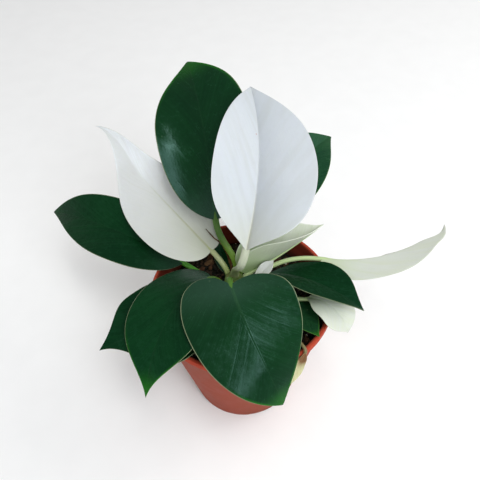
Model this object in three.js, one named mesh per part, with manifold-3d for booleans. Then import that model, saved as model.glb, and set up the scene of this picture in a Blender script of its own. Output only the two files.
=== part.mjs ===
// Potted white congo philodendron: a nursery pot, soil, a short stem and its leaves.
// Millimetres, +Z up, origin on the floor under the middle of the pot.
import * as THREE from "three";
import { mergeVertices } from "three/addons/utils/BufferGeometryUtils.js";
import Module from "manifold-3d";

const wasm = await Module();
wasm.setup();

// Driving dimensions
const POT = {
  height: 130, // floor to the top of the lip
  rimRadius: 75, // outside of the lip
  baseRadius: 48, // outside of the foot
  wall: 1.6,
  lipHeight: 6, // the band that stands proud of the wall
  lipStep: 2.6, // how far it stands out
  lipTop: 3.4, // width of the flat top of the lip
  footHeight: 4, // the base is raised by this between the foot and the middle
  footWidth: 5,
  centreRadius: 13, // flat disc in the middle that touches the floor
  drainHoles: 6,
  drainRadius: 4,
  notches: 4, // shallow gaps in the foot that let water out
  notchWidth: 34,
  notchHeight: 1.8,
  firstNotch: 25, // degrees round from +X
  sides: 48,
};
const SOIL = {
  level: 112, // mean height of the surface
  depth: 104, // from the surface down to its flat underside
  relief: 1.5, // height of the lumps
  rings: 8,
  sides: 40,
};
const STEM = { x: -6, y: 8, radius: 9, bottom: 64, top: 138, sides: 14 };
const BLADE = {
  thickness: 0.9,
  rows: 12, // steps from the stalk to the tip along each margin
  columns: 3, // steps from the midrib to the margin
  midribSteps: 48, // straight steps that the bent midrib is walked in
  ribReach: 0.86, // how far along the blade the rib shows
  ribSunk: 0.55, // how far the rib's middle lies below the blade, in its radii
  waves: 2.5, // waves along each margin
};
const STALK = { sides: 6, steps: 7, socketDepth: 2.6, swelling: 0.25 };
const GAP = 0.3; // between pieces that touch

// The dried remnant of a sheath, a thin spike that stands beside the stalks
const SPIKE = {
  route: [
    [-7, 15.5, 125],
    [-8.3, 23, 134],
    [-11.5, 29, 144],
    [-15.8, 30.7, 153.9],
    [-21.1, 31.6, 159.7],
    [-27.7, 38.2, 163.8],
  ],
  rootRadius: 1.1,
  tipRadius: 0.45,
  steps: 9,
};

const COLOURS = {
  terracotta: 0x9c5142,
  soil: 0x2a2419,
  bark: 0x6f8a4c,
  green: 0x18402a,
  freshGreen: 0x24552f,
  white: 0xdde3e6,
  pale: 0xc9d4ba,
  cream: 0xd3d8c6,
  yellowed: 0xd8d59a,
  dried: 0x6b4427,
};

// Every leaf grows by the same rule. base is where the blade starts. heading and rise give the
// midrib's direction in degrees at its start and its end, and length follows its bend. roll turns
// the blade round the midrib, fold lifts both halves, cup curls them further towards the margin.
// lobe and widest shape the outline as parts of the length. tip is how full the left and the right
// half are before the tip, as parts of the half width, and blunt is how far along that fullness lies.
// stalk: side is its bearing round the stem, height where it leaves the stem, lift its first slope,
// flat its thickness over its width. from is its start's distance from the stem's middle, and reach
// how far it runs straight at both ends, as a part of its span, where these aren't the usual ones.
const LEAVES = [
  {
    name: "leaf_white_centre",
    colour: COLOURS.white,
    base: [4, -8, 188],
    heading: [72, 100],
    rise: [34, 9],
    length: 145,
    width: 90,
    roll: [19, 21],
    fold: [27, 29],
    cup: [0, 0],
    lobe: -0.08,
    widest: 0.41,
    tip: [0.27, 0.25],
    blunt: 0.89,
    wave: 0.5,
    stalk: { side: 60, height: 134, lift: 84, width: 6.2, flat: 0.6, from: 1 },
  },
  {
    name: "leaf_green_back",
    colour: COLOURS.green,
    base: [-19, 38, 174],
    heading: [96, 103],
    rise: [55, -1],
    length: 152,
    width: 78,
    roll: [-4, -18],
    fold: [4, 5],
    cup: [0, 0],
    lobe: -0.02,
    widest: 0.5,
    tip: [0.49, 0.59],
    blunt: 0.85,
    wave: 0.6,
    stalk: { side: 70, height: 130, lift: 62, width: 5.4, flat: 1 },
  },
  {
    name: "leaf_white_left",
    colour: COLOURS.white,
    base: [-24, 28, 148.5],
    heading: [135, 131],
    rise: [20, 15],
    length: 158,
    width: 63,
    roll: [-25, -81],
    fold: [18, 8],
    cup: [13, 24],
    lobe: 0.03,
    widest: 0.34,
    tip: [-0.35, 0.55],
    blunt: 0.87,
    wave: 0.4,
    stalk: { side: 125, height: 126, lift: 88, width: 4.6, flat: 1 },
  },
  {
    name: "leaf_green_far_left",
    colour: COLOURS.green,
    base: [-49, 31.4, 129.4],
    heading: [156, 143],
    rise: [20, -27],
    length: 154,
    width: 56,
    roll: [-19, -44],
    fold: [17, 13.5],
    cup: [0, 0],
    lobe: -0.02,
    widest: 0.41,
    tip: [0.32, 0.5],
    blunt: 0.84,
    wave: 0.6,
    stalk: { side: 160, height: 118, lift: 20, width: 4.4, flat: 1 },
  },
  {
    name: "leaf_green_low_left",
    colour: COLOURS.green,
    base: [-28, 3.5, 134.6],
    heading: [-131, -154],
    rise: [4, -1],
    length: 100,
    width: 79,
    roll: [1, -1],
    fold: [-6, -11],
    cup: [0, 0],
    lobe: 0,
    widest: 0.5,
    tip: [0.06, 0.58],
    blunt: 0.77,
    wave: 0.5,
    stalk: { side: -155, height: 115, lift: 30, width: 4.2, flat: 1 },
  },
  {
    name: "leaf_green_front_left",
    colour: COLOURS.green,
    base: [-25, 7, 139],
    heading: [-131, -102],
    rise: [32, -56],
    length: 119,
    width: 67,
    roll: [6, 9],
    fold: [-4, 9],
    cup: [0, 0],
    lobe: 0.11,
    widest: 0.45,
    tip: [0.19, 0.13],
    blunt: 0.8,
    wave: 0.7,
    stalk: { side: -178, height: 125, lift: 50, width: 4.8, flat: 1 },
  },
  {
    name: "leaf_green_front",
    colour: COLOURS.green,
    base: [-8, -18, 161],
    heading: [-76, -46],
    rise: [-3, -66],
    length: 103,
    width: 87,
    roll: [3, 2],
    fold: [5, 5],
    cup: [0, 0],
    lobe: 0.07,
    widest: 0.23,
    tip: [0.37, 0.51],
    blunt: 0.83,
    wave: 0.6,
    stalk: { side: -95, height: 128, lift: 60, width: 5, flat: 1 },
  },
  {
    name: "leaf_green_right",
    colour: COLOURS.green,
    base: [23, 15, 132],
    heading: [-29, -38],
    rise: [32, -20],
    length: 88,
    width: 58,
    roll: [-28, -20],
    fold: [7, 15],
    cup: [0, 0],
    lobe: -0.06,
    widest: 0.51,
    tip: [0.32, 0.36],
    blunt: 0.82,
    wave: 0.5,
    stalk: { side: -5, height: 123, lift: 25, width: 4.2, flat: 1 },
  },
  {
    name: "leaf_white_right",
    colour: COLOURS.cream,
    base: [71, 26, 136],
    heading: [-10, 40],
    rise: [-3, 10],
    length: 114,
    width: 56,
    roll: [-18, -55],
    fold: [-13, -17],
    cup: [0, 0],
    lobe: 0.09,
    widest: 0.4,
    tip: [0.4, 0.36],
    blunt: 0.86,
    wave: 0.3,
    stalk: { side: 32, height: 117, lift: 25, width: 4, flat: 1 },
  },
  {
    name: "leaf_white_low",
    colour: COLOURS.cream,
    base: [51, -16, 138.5],
    heading: [-17, -56],
    rise: [19, -73],
    length: 48,
    width: 41,
    roll: [-22, -6],
    fold: [6, 4],
    cup: [0, 0],
    lobe: -0.12,
    widest: 0.45,
    tip: [0.5, 0.38],
    blunt: 0.88,
    wave: 0.4,
    stalk: { side: -33, height: 118.5, lift: 25, width: 3.4, flat: 1 },
  },
  {
    name: "leaf_pale_young",
    colour: COLOURS.pale,
    base: [5, 13, 136],
    heading: [16, 19],
    rise: [22, 34],
    length: 75,
    width: 59,
    roll: [-13, -9],
    fold: [67, 41],
    cup: [24, 3],
    lobe: 0.11,
    widest: 0.37,
    tip: [0.29, 0.35],
    blunt: 0.84,
    wave: 0.3,
    stalk: { side: 18, height: 128.5, lift: 50, width: 4, flat: 1 },
  },
  {
    name: "leaf_green_back_right",
    colour: COLOURS.freshGreen,
    base: [15, 47, 154],
    heading: [51, 46],
    rise: [46, -12],
    length: 114,
    width: 62,
    roll: [8, 17],
    fold: [15, 14],
    cup: [0, 0],
    lobe: 0.1,
    widest: 0.4,
    tip: [0.41, 0.33],
    blunt: 0.84,
    wave: 0.6,
    stalk: { side: 68, height: 121, lift: 45, width: 4.4, flat: 1 },
  },
  {
    name: "leaf_green_small",
    colour: COLOURS.freshGreen,
    base: [35, -7, 124],
    heading: [-55, -68],
    rise: [13, 10],
    length: 49,
    width: 24,
    roll: [4, 7],
    fold: [15, 7],
    cup: [0, 0],
    lobe: 0.1,
    widest: 0.4,
    tip: [0.19, 0.29],
    blunt: 0.85,
    wave: 0.3,
    stalk: { side: -55, height: 114, lift: 25, width: 3, flat: 1 },
  },
  {
    name: "leaf_green_inner",
    colour: COLOURS.green,
    base: [-13, 26, 123],
    heading: [104, 99],
    rise: [24, 2],
    length: 28,
    width: 16,
    roll: [12, 9],
    fold: [18, 7],
    cup: [0, 0],
    lobe: 0.07,
    widest: 0.5,
    tip: [0.43, 0.43],
    blunt: 0.78,
    wave: 0.2,
    stalk: { side: 112, height: 118, lift: 30, width: 2.6, flat: 1 },
  },
  {
    name: "leaf_white_inner",
    colour: COLOURS.white,
    base: [13, 1, 143],
    heading: [42, 42],
    rise: [28, 20],
    length: 20,
    width: 11,
    roll: [0, 0],
    fold: [18, 12],
    cup: [0, 0],
    lobe: 0.1,
    widest: 0.5,
    tip: [0.6, 0.6],
    blunt: 0.78,
    wave: 0.2,
    stalk: { side: -25, height: 128, lift: 45, width: 2.8, flat: 1 },
  },
  {
    name: "leaf_yellowed_old",
    colour: COLOURS.yellowed,
    base: [46, -61.5, 131.8],
    heading: [-134, -162],
    rise: [-55, -82],
    length: 38,
    width: 9,
    roll: [-51, -76],
    fold: [17, 5],
    cup: [0, 0],
    lobe: 0.0,
    widest: 0.49,
    tip: [0.42, 0.42],
    blunt: 0.78,
    wave: 0.3,
    stalk: { side: -80, height: 118, lift: 12, width: 2.6, flat: 1, reach: 0.14 },
  },
];

// A point of the bent midrib and the axes of the blade there, at a distance u from the base
function between(pair, c) {
  return pair[0] + (pair[1] - pair[0]) * c;
}

function midribOf(leaf) {
  const points = [new THREE.Vector3(...leaf.base)];
  const step = leaf.length / BLADE.midribSteps;
  for (let i = 0; i < BLADE.midribSteps; i += 1) {
    const ahead = headingAt(leaf, (i + 0.5) / BLADE.midribSteps);
    points.push(points[i].clone().addScaledVector(ahead, step));
  }
  return points;
}

function headingAt(leaf, c) {
  const heading = THREE.MathUtils.degToRad(between(leaf.heading, c));
  const rise = THREE.MathUtils.degToRad(between(leaf.rise, c));
  const flat = Math.cos(rise);
  return new THREE.Vector3(Math.cos(heading) * flat, Math.sin(heading) * flat, Math.sin(rise));
}

function frameAt(leaf, midrib, u) {
  const c = THREE.MathUtils.clamp(u / leaf.length, 0, 1);
  const ahead = headingAt(leaf, c);
  const heading = THREE.MathUtils.degToRad(between(leaf.heading, c));
  const level = new THREE.Vector3(-Math.sin(heading), Math.cos(heading), 0);
  const upright = ahead.clone().cross(level);
  const roll = THREE.MathUtils.degToRad(between(leaf.roll, c));
  const across = level.clone().multiplyScalar(Math.cos(roll)).addScaledVector(upright, Math.sin(roll));
  const out = ahead.clone().cross(across);
  const step = Math.min(Math.floor(c * BLADE.midribSteps), BLADE.midribSteps - 1);
  const point = midrib[step].clone().lerp(midrib[step + 1], c * BLADE.midribSteps - step);
  point.addScaledVector(ahead, Math.min(u, 0));
  return { point, ahead, across, out };
}

// The flat outline of half a blade, from the stalk round the lobe to the tip
function outlineOf(leaf, side) {
  const long = leaf.length;
  const half = leaf.width / 2;
  const { lobe, widest, blunt } = leaf;
  const full = (side > 0 ? leaf.tip[0] : leaf.tip[1]) * half;
  const path = new THREE.Path();
  path.moveTo(0, 0);
  const shoulder = widest - 0.75 * (widest + Math.max(lobe, 0));
  path.bezierCurveTo(-1.3 * lobe * long, 0.4 * half, shoulder * long, half, widest * long, half);
  path.bezierCurveTo((0.5 + 0.5 * widest) * long, half, blunt * long, full, long, 0);
  return path.getSpacedPoints(BLADE.rows);
}

// Where a point (u, v) of the flat blade lies once the blade is bent, folded and cupped
function bladePoint(leaf, midrib, u, v) {
  const { point, across, out } = frameAt(leaf, midrib, u);
  const c = THREE.MathUtils.clamp(u / leaf.length, 0, 1);
  const half = leaf.width / 2;
  const fold = THREE.MathUtils.degToRad(between(leaf.fold, c));
  const cup = THREE.MathUtils.degToRad(Math.max(between(leaf.cup, c), 0.1));
  const away = Math.abs(v) / half;
  const radius = half / cup;
  const sideways = radius * (Math.sin(fold + cup * away) - Math.sin(fold));
  const ripple = Math.sin(2 * Math.PI * BLADE.waves * c + (v > 0 ? 0.6 : 2.4));
  const lifted = radius * (Math.cos(fold) - Math.cos(fold + cup * away)) + leaf.wave * away * away * ripple;
  return point.addScaledVector(across, Math.sign(v) * sideways).addScaledVector(out, lifted);
}

function geometryOf(points, faces) {
  const flat = points.flatMap((p) => [p.x, p.y, p.z]);
  const geometry = new THREE.BufferGeometry();
  geometry.setAttribute("position", new THREE.Float32BufferAttribute(flat, 3));
  geometry.setIndex(faces.flat());
  return geometry;
}

// The blade as a thin closed solid: one sheet of triangles, offset to both faces, with a rim
function bladeGeometry(leaf, midrib) {
  const outlines = { 1: outlineOf(leaf, 1), "-1": outlineOf(leaf, -1) };
  const { rows, columns } = BLADE;
  const points = [bladePoint(leaf, midrib, 0, 0)];
  const index = { base: 0, rows: [] };
  for (let i = 1; i < rows; i += 1) {
    const start = leaf.length * (i / rows) ** 1.25;
    const row = [points.length];
    points.push(bladePoint(leaf, midrib, start, 0));
    for (const side of [1, -1]) {
      const margin = outlines[side][i];
      for (let j = 1; j <= columns; j += 1) {
        const u = start + ((margin.x - start) * j) / columns;
        const v = (side * margin.y * j) / columns;
        row.push(points.length);
        points.push(bladePoint(leaf, midrib, u, v));
      }
    }
    index.rows.push(row);
  }
  const tip = points.length;
  points.push(bladePoint(leaf, midrib, leaf.length, 0));
  const at = (row, side, j) => (j === 0 ? row[0] : row[j + (side > 0 ? 0 : columns)]);
  const sheet = [];
  const add = (side, a, b, c) => sheet.push(side > 0 ? [a, b, c] : [a, c, b]);
  for (const side of [1, -1]) {
    for (let j = 0; j < columns; j += 1) {
      const first = index.rows[0];
      const last = index.rows[rows - 2];
      add(side, 0, at(first, side, j), at(first, side, j + 1));
      for (let i = 0; i < rows - 2; i += 1) {
        const near = index.rows[i];
        const far = index.rows[i + 1];
        add(side, at(near, side, j), at(far, side, j), at(far, side, j + 1));
        add(side, at(near, side, j), at(far, side, j + 1), at(near, side, j + 1));
      }
      add(side, at(last, side, j), tip, at(last, side, j + 1));
    }
  }
  const middle = geometryOf(points, sheet);
  middle.computeVertexNormals();
  const normals = points.map((p, i) => new THREE.Vector3().fromBufferAttribute(middle.attributes.normal, i));
  const half = BLADE.thickness / 2;
  const above = points.map((p, i) => p.clone().addScaledVector(normals[i], half));
  const below = points.map((p, i) => p.clone().addScaledVector(normals[i], -half));
  const count = points.length;
  const faces = sheet.flatMap(([a, b, c]) => [[a, b, c], [a + count, c + count, b + count]]);
  const left = index.rows.map((row) => at(row, 1, columns));
  const right = index.rows.map((row) => at(row, -1, columns)).reverse();
  const rim = [0, ...right.reverse(), tip, ...left.reverse()];
  rim.forEach((a, i) => {
    const b = rim[(i + 1) % rim.length];
    faces.push([b, a, a + count], [b, a + count, b + count]);
  });
  return geometryOf([...above, ...below], faces);
}

// A tapered tube through centres, each with a half width, a half height and a sideways direction
function tubeGeometry(stations, sides) {
  const points = [];
  const faces = [];
  stations.forEach(({ point, ahead, side, halfWidth, halfHeight }) => {
    const wide = side.clone().addScaledVector(ahead, -side.dot(ahead)).normalize();
    const high = ahead.clone().cross(wide);
    for (let k = 0; k < sides; k += 1) {
      const angle = (2 * Math.PI * (k + 0.5)) / sides;
      const rim = point.clone().addScaledVector(wide, Math.cos(angle) * halfWidth);
      points.push(rim.addScaledVector(high, Math.sin(angle) * halfHeight));
    }
  });
  const lastRing = (stations.length - 1) * sides;
  for (let i = 0; i < stations.length - 1; i += 1) {
    for (let k = 0; k < sides; k += 1) {
      const a = i * sides + k;
      const b = i * sides + ((k + 1) % sides);
      faces.push([a, b, b + sides], [a, b + sides, a + sides]);
    }
  }
  for (let k = 1; k < sides - 1; k += 1) {
    faces.push([0, k + 1, k], [lastRing, lastRing + k, lastRing + k + 1]);
  }
  return geometryOf(points, faces);
}

// The stalk's route from its socket in the stem to the blade
function stalkCurve(leaf, midrib, deeper) {
  const { side, height, lift } = leaf.stalk;
  const turn = THREE.MathUtils.degToRad(side);
  const up = THREE.MathUtils.degToRad(lift);
  const inside = leaf.stalk.from ?? STEM.radius - STALK.socketDepth;
  const from = new THREE.Vector3(STEM.x + inside * Math.cos(turn), STEM.y + inside * Math.sin(turn), height);
  const flat = Math.cos(up);
  const leaving = new THREE.Vector3(Math.cos(turn) * flat, Math.sin(turn) * flat, Math.sin(up));
  const { point: to, ahead, out } = frameAt(leaf, midrib, 0);
  to.addScaledVector(out, (-BLADE.ribSunk * leaf.stalk.width * leaf.stalk.flat) / 2);
  const reach = (leaf.stalk.reach ?? 0.42) * from.distanceTo(to);
  from.addScaledVector(leaving, -deeper);
  const nearStem = from.clone().addScaledVector(leaving, reach);
  const nearBlade = to.clone().addScaledVector(ahead, -reach);
  return new THREE.CubicBezierCurve3(from, nearStem, nearBlade, to);
}

function stalkStations(leaf, midrib, grow) {
  const curve = stalkCurve(leaf, midrib, grow);
  const { across } = frameAt(leaf, midrib, 0);
  const stations = [];
  for (let i = 0; i <= STALK.steps; i += 1) {
    const t = i / STALK.steps;
    const swell = 1 + STALK.swelling * (1 - Math.min(t * 3, 1)) ** 2;
    const halfWidth = (leaf.stalk.width / 2) * swell + grow;
    const halfHeight = (leaf.stalk.width / 2) * swell * leaf.stalk.flat + grow;
    const point = curve.getPoint(t);
    stations.push({ point, ahead: curve.getTangent(t), side: across, halfWidth, halfHeight });
  }
  return stations;
}

// The stalk goes on under the blade as its rib, thinner and thinner
function stalkAndRib(leaf, midrib) {
  const stations = stalkStations(leaf, midrib, 0);
  const ribSteps = 5;
  for (let i = 1; i <= ribSteps; i += 1) {
    const c = (BLADE.ribReach * i) / ribSteps;
    const { point, ahead, across, out } = frameAt(leaf, midrib, c * leaf.length);
    const thin = 1 - 0.82 * (i / ribSteps) ** 0.6;
    const halfWidth = (leaf.stalk.width / 2) * thin;
    const halfHeight = (leaf.stalk.width / 2) * thin * leaf.stalk.flat;
    point.addScaledVector(out, -BLADE.ribSunk * halfHeight);
    stations.push({ point, ahead, side: across, halfWidth, halfHeight });
  }
  return tubeGeometry(stations, STALK.sides);
}

// Closed solids for joining and cutting
function solidOf(geometry) {
  const bare = geometry.clone();
  bare.deleteAttribute("normal");
  bare.deleteAttribute("uv");
  const merged = mergeVertices(bare, 1e-3);
  const triVerts = new Uint32Array(merged.index.array);
  const vertProperties = merged.attributes.position.array;
  return new wasm.Manifold(new wasm.Mesh({ numProp: 3, vertProperties, triVerts }));
}

function geometryFrom(solid) {
  const mesh = solid.getMesh();
  const geometry = new THREE.BufferGeometry();
  geometry.setAttribute("position", new THREE.BufferAttribute(new Float32Array(mesh.vertProperties), 3));
  geometry.setIndex(new THREE.BufferAttribute(new Uint32Array(mesh.triVerts), 1));
  return geometry;
}

function leafSolid(leaf) {
  const midrib = midribOf(leaf);
  return solidOf(bladeGeometry(leaf, midrib)).add(solidOf(stalkAndRib(leaf, midrib)));
}

// The pot: a turned shell with a lip, a raised base ring and drain holes
function turned(profile, sides) {
  const geometry = new THREE.LatheGeometry(profile.map(([r, z]) => new THREE.Vector2(r, z)), sides);
  return geometry.rotateX(Math.PI / 2);
}

function wallRadius(z) {
  const full = POT.rimRadius - POT.lipStep;
  return POT.baseRadius + ((full - POT.baseRadius) * z) / (POT.height - POT.lipHeight);
}

function potSolid() {
  const { height, rimRadius, wall, lipHeight, lipTop, footHeight, footWidth, centreRadius } = POT;
  const underLip = height - lipHeight;
  const profile = [
    [0, 0],
    [centreRadius, 0],
    [centreRadius + footHeight, footHeight],
    [POT.baseRadius - footWidth - footHeight, footHeight],
    [POT.baseRadius - footWidth, 0],
    [POT.baseRadius - 1, 0],
    [wallRadius(1), 1],
    [wallRadius(underLip), underLip],
    [rimRadius - 0.4, underLip],
    [rimRadius, underLip + 0.8],
    [rimRadius, height - 1],
    [rimRadius - 1, height],
    [rimRadius - lipTop + 0.5, height],
    [rimRadius - lipTop, height - 0.6],
    [wallRadius(underLip) - wall, underLip - 3],
    [wallRadius(footHeight + wall) - wall, footHeight + wall],
    [centreRadius + footHeight, footHeight + wall],
    [centreRadius, wall],
    [0, wall],
  ];
  let solid = solidOf(turned(profile, POT.sides));
  const ring = (centreRadius + POT.baseRadius - footWidth) / 2;
  for (let i = 0; i < POT.drainHoles; i += 1) {
    const angle = (2 * Math.PI * i) / POT.drainHoles;
    const drill = new THREE.CylinderGeometry(POT.drainRadius, POT.drainRadius, 4 * footHeight, 12);
    drill.rotateX(Math.PI / 2).translate(ring * Math.cos(angle), ring * Math.sin(angle), footHeight);
    solid = solid.subtract(solidOf(drill));
  }
  for (let i = 0; i < POT.notches; i += 1) {
    const angle = THREE.MathUtils.degToRad(POT.firstNotch + (360 * i) / POT.notches);
    const notch = new THREE.BoxGeometry(4 * footWidth, POT.notchWidth, 2 * POT.notchHeight);
    notch.translate(POT.baseRadius, 0, 0).rotateZ(angle);
    solid = solid.subtract(solidOf(notch));
  }
  return solid;
}

// The dried spike, thinner towards its tip
function spikeGeometry(grow) {
  const route = new THREE.CatmullRomCurve3(SPIKE.route.map((p) => new THREE.Vector3(...p)));
  const stations = [];
  for (let i = 0; i <= SPIKE.steps; i += 1) {
    const t = i / SPIKE.steps;
    const radius = between([SPIKE.rootRadius, SPIKE.tipRadius], t) + grow;
    const side = new THREE.Vector3(1, 0, 0);
    const point = route.getPoint(t);
    stations.push({ point, ahead: route.getTangent(t), side, halfWidth: radius, halfHeight: radius });
  }
  if (grow > 0) stations[0].point.addScaledVector(stations[0].ahead, -grow);
  return tubeGeometry(stations, STALK.sides);
}

// The stem: short and ringed with old leaf scars, with a socket for each stalk
function stemProfile(grow) {
  const { radius, bottom, top } = STEM;
  const profile = [[0, bottom - grow], [radius * 0.7 + grow, bottom - grow]];
  const scars = 5;
  for (let i = 0; i <= scars; i += 1) {
    const z = bottom + 3 + ((top - bottom - 8) * i) / scars;
    profile.push([radius + grow, z], [radius - 0.5 + grow, z + 1.2]);
  }
  profile.push([radius * 0.8 + grow, top - 1.5 + grow], [0, top + grow]);
  return profile;
}

function stemSolid() {
  let solid = solidOf(turned(stemProfile(0), STEM.sides).translate(STEM.x, STEM.y, 0));
  for (const leaf of LEAVES) {
    const socket = tubeGeometry(stalkStations(leaf, midribOf(leaf), GAP), STALK.sides);
    solid = solid.subtract(solidOf(socket));
  }
  return solid.subtract(solidOf(spikeGeometry(GAP)));
}

// The soil: a filled cup with a lumpy top, and a plain hole for the stem
function soilHeight(x, y) {
  const broad = Math.sin(0.11 * x + 0.6) * Math.cos(0.09 * y - 0.4);
  const lumps = Math.sin(0.43 * x - 0.2 * y) * Math.sin(0.37 * y + 0.21 * x + 1);
  return SOIL.level + SOIL.relief * (0.6 * broad + 0.5 * lumps);
}

function soilSolid() {
  const { rings, sides, level, depth } = SOIL;
  const inner = (z) => wallRadius(z) - POT.wall - GAP - 0.2;
  const points = [new THREE.Vector3(0, 0, soilHeight(0, 0))];
  const edge = inner(level - 4);
  for (let i = 1; i <= rings; i += 1) {
    for (let k = 0; k < sides; k += 1) {
      const angle = (2 * Math.PI * k) / sides;
      const x = ((edge * i) / rings) * Math.cos(angle);
      const y = ((edge * i) / rings) * Math.sin(angle);
      points.push(new THREE.Vector3(x, y, soilHeight(x, y)));
    }
  }
  const floor = level - depth;
  const low = inner(floor);
  for (let k = 0; k < sides; k += 1) {
    const angle = (2 * Math.PI * k) / sides;
    points.push(new THREE.Vector3(low * Math.cos(angle), low * Math.sin(angle), floor));
  }
  const bottom = points.length;
  points.push(new THREE.Vector3(0, 0, floor));
  const faces = [];
  for (let k = 0; k < sides; k += 1) {
    const next = (k + 1) % sides;
    faces.push([0, 1 + k, 1 + next]);
    for (let i = 0; i < rings; i += 1) {
      const a = 1 + i * sides;
      const b = a + sides;
      faces.push([a + k, b + k, b + next], [a + k, b + next, a + next]);
    }
    const last = 1 + rings * sides;
    faces.push([bottom, last + next, last + k]);
  }
  const hole = solidOf(turned(stemProfile(GAP), STEM.sides).translate(STEM.x, STEM.y, 0));
  return solidOf(geometryOf(points, faces)).subtract(hole);
}

// One named mesh for each piece
function material(color, roughness) {
  return new THREE.MeshStandardMaterial({ color, roughness, metalness: 0 });
}

function piece(name, solid, look) {
  const mesh = new THREE.Mesh(geometryFrom(solid), look);
  mesh.name = name;
  return mesh;
}

const plant = new THREE.Group();
plant.add(piece("pot", potSolid(), material(COLOURS.terracotta, 0.55)));
plant.add(piece("soil", soilSolid(), material(COLOURS.soil, 0.95)));
plant.add(piece("stem", stemSolid(), material(COLOURS.bark, 0.6)));
plant.add(piece("dried_spike", solidOf(spikeGeometry(0)), material(COLOURS.dried, 0.8)));
for (const leaf of LEAVES) {
  plant.add(piece(leaf.name, leafSolid(leaf), material(leaf.colour, 0.35)));
}

export default plant;
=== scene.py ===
# Potted white congo philodendron: the finish of every surface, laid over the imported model.
# Plant and pot sizes are in millimetres and degrees and are scaled to metres when a mesh is made.
import math
import random

import bmesh
import bpy
import numpy as np
from mathutils import Matrix, Vector


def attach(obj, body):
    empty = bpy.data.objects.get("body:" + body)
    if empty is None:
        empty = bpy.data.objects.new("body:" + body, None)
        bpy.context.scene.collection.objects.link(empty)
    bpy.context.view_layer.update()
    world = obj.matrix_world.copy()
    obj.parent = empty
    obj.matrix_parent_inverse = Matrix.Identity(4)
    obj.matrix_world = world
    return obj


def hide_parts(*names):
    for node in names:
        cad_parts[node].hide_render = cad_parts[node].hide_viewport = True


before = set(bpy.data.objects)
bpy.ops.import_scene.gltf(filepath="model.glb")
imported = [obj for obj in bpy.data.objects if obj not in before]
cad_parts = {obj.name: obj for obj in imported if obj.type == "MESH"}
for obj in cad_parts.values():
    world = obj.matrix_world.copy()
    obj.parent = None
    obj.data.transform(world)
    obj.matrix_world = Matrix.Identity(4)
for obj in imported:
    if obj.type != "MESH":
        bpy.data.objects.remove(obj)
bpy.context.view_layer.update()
millimetre = 0.001
upAxis = np.array([0.0, 0.0, 1.0])
print("frame loaded:", len(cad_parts), "nodes")


# Shader nodes written as expressions: a wire is one output socket of a node
class Wire:
    def __init__(self, tree, socket=None):
        self.tree = tree
        self.socket = socket

    def node(self, kind, settings=None, sockets=None, output=0):
        made = self.tree.nodes.new("ShaderNode" + kind)
        for name, value in (settings or {}).items():
            if name == "stops":
                self.fillRamp(made.color_ramp, value)
            else:
                setattr(made, name, value)
        for key, value in (sockets or {}).items():
            if isinstance(value, Wire):
                self.tree.links.new(value.socket, made.inputs[key])
            else:
                made.inputs[key].default_value = value
        return Wire(self.tree, made.outputs[output]) if made.outputs else None

    def fillRamp(self, ramp, stops):
        for place, colour in stops[2:]:
            ramp.elements.new(place)
        for element, (place, colour) in zip(ramp.elements, stops):
            element.position = place
            element.color = colour

    def maths(self, operation, *values):
        return self.node("Math", {"operation": operation}, dict(enumerate(values)))

    def __add__(self, other):
        return self.maths("ADD", self, other)

    def __radd__(self, other):
        return self.maths("ADD", other, self)

    def __sub__(self, other):
        return self.maths("SUBTRACT", self, other)

    def __rsub__(self, other):
        return self.maths("SUBTRACT", other, self)

    def __mul__(self, other):
        return self.maths("MULTIPLY", self, other)

    def __rmul__(self, other):
        return self.maths("MULTIPLY", other, self)

    def __truediv__(self, other):
        return self.maths("DIVIDE", self, other)

    def __pow__(self, other):
        return self.maths("POWER", self, other)

    def __abs__(self):
        return self.maths("ABSOLUTE", self)

    def cosine(self):
        return self.maths("COSINE", self)

    def rising(self, low, high):  # 0 below low, 1 above high, smooth between them
        sockets = {"Value": self, "From Min": low, "From Max": high}
        return self.node("MapRange", {"interpolation_type": "SMOOTHSTEP"}, sockets)

    def mixing(self, first, second):  # first where this mask is 0, second where it is 1
        return self.node("Mix", {"data_type": "RGBA"}, {0: self, 6: first, 7: second}, output=2)

    def parts(self):
        first = self.node("SeparateXYZ", {}, {0: self})
        return [Wire(self.tree, out) for out in first.socket.node.outputs]

    def joined(self, x, y=0.0, z=0.0):
        return self.node("CombineXYZ", {}, {"X": x, "Y": y, "Z": z})

    def attribute(self, name, output="Vector"):  # what a mesh carries at its corners
        return self.node("Attribute", {"attribute_name": name}, output=output)

    def noise(self, scale, detail=2.0, roughness=0.5):  # this wire is the place
        sockets = {"Vector": self, "Scale": scale, "Detail": detail, "Roughness": roughness}
        return self.node("TexNoise", {}, sockets)

    def cells(self, scale):  # the distance to the nearest of many scattered points
        return self.node("TexVoronoi", {}, {"Vector": self, "Scale": scale}, "Distance")


def paint(red, green, blue):
    def linear(value):
        value /= 255
        return value / 12.92 if value <= 0.04045 else ((value + 0.055) / 1.055) ** 2.4

    return (linear(red), linear(green), linear(blue), 1.0)


def layered(body, *coats):  # coats: (mask, colour), each over the ones before
    for mask, colour in coats:
        body = mask.mixing(body, colour)
    return body


def newFinish(name):
    material = bpy.data.materials.new(name)
    material.use_nodes = True
    material.node_tree.nodes.clear()
    wire = Wire(material.node_tree)
    return material, wire, wire.node("TexCoord", output="Object")


def closeFinish(material, sockets, height):
    wire = Wire(material.node_tree)
    bump = {"Height": height, "Distance": millimetre, "Strength": 1.0}
    normal = wire.node("Bump", {}, bump, "Normal")
    shader = wire.node("BsdfPrincipled", {}, sockets | {"Normal": normal})
    wire.node("OutputMaterial", {}, {"Surface": shader})
    return material


# Objects and meshes
def placed(name, data):  # a new object in the scene that holds this mesh, lamp or camera
    made = bpy.data.objects.new(name, data)
    bpy.context.scene.collection.objects.link(made)
    return made


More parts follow.
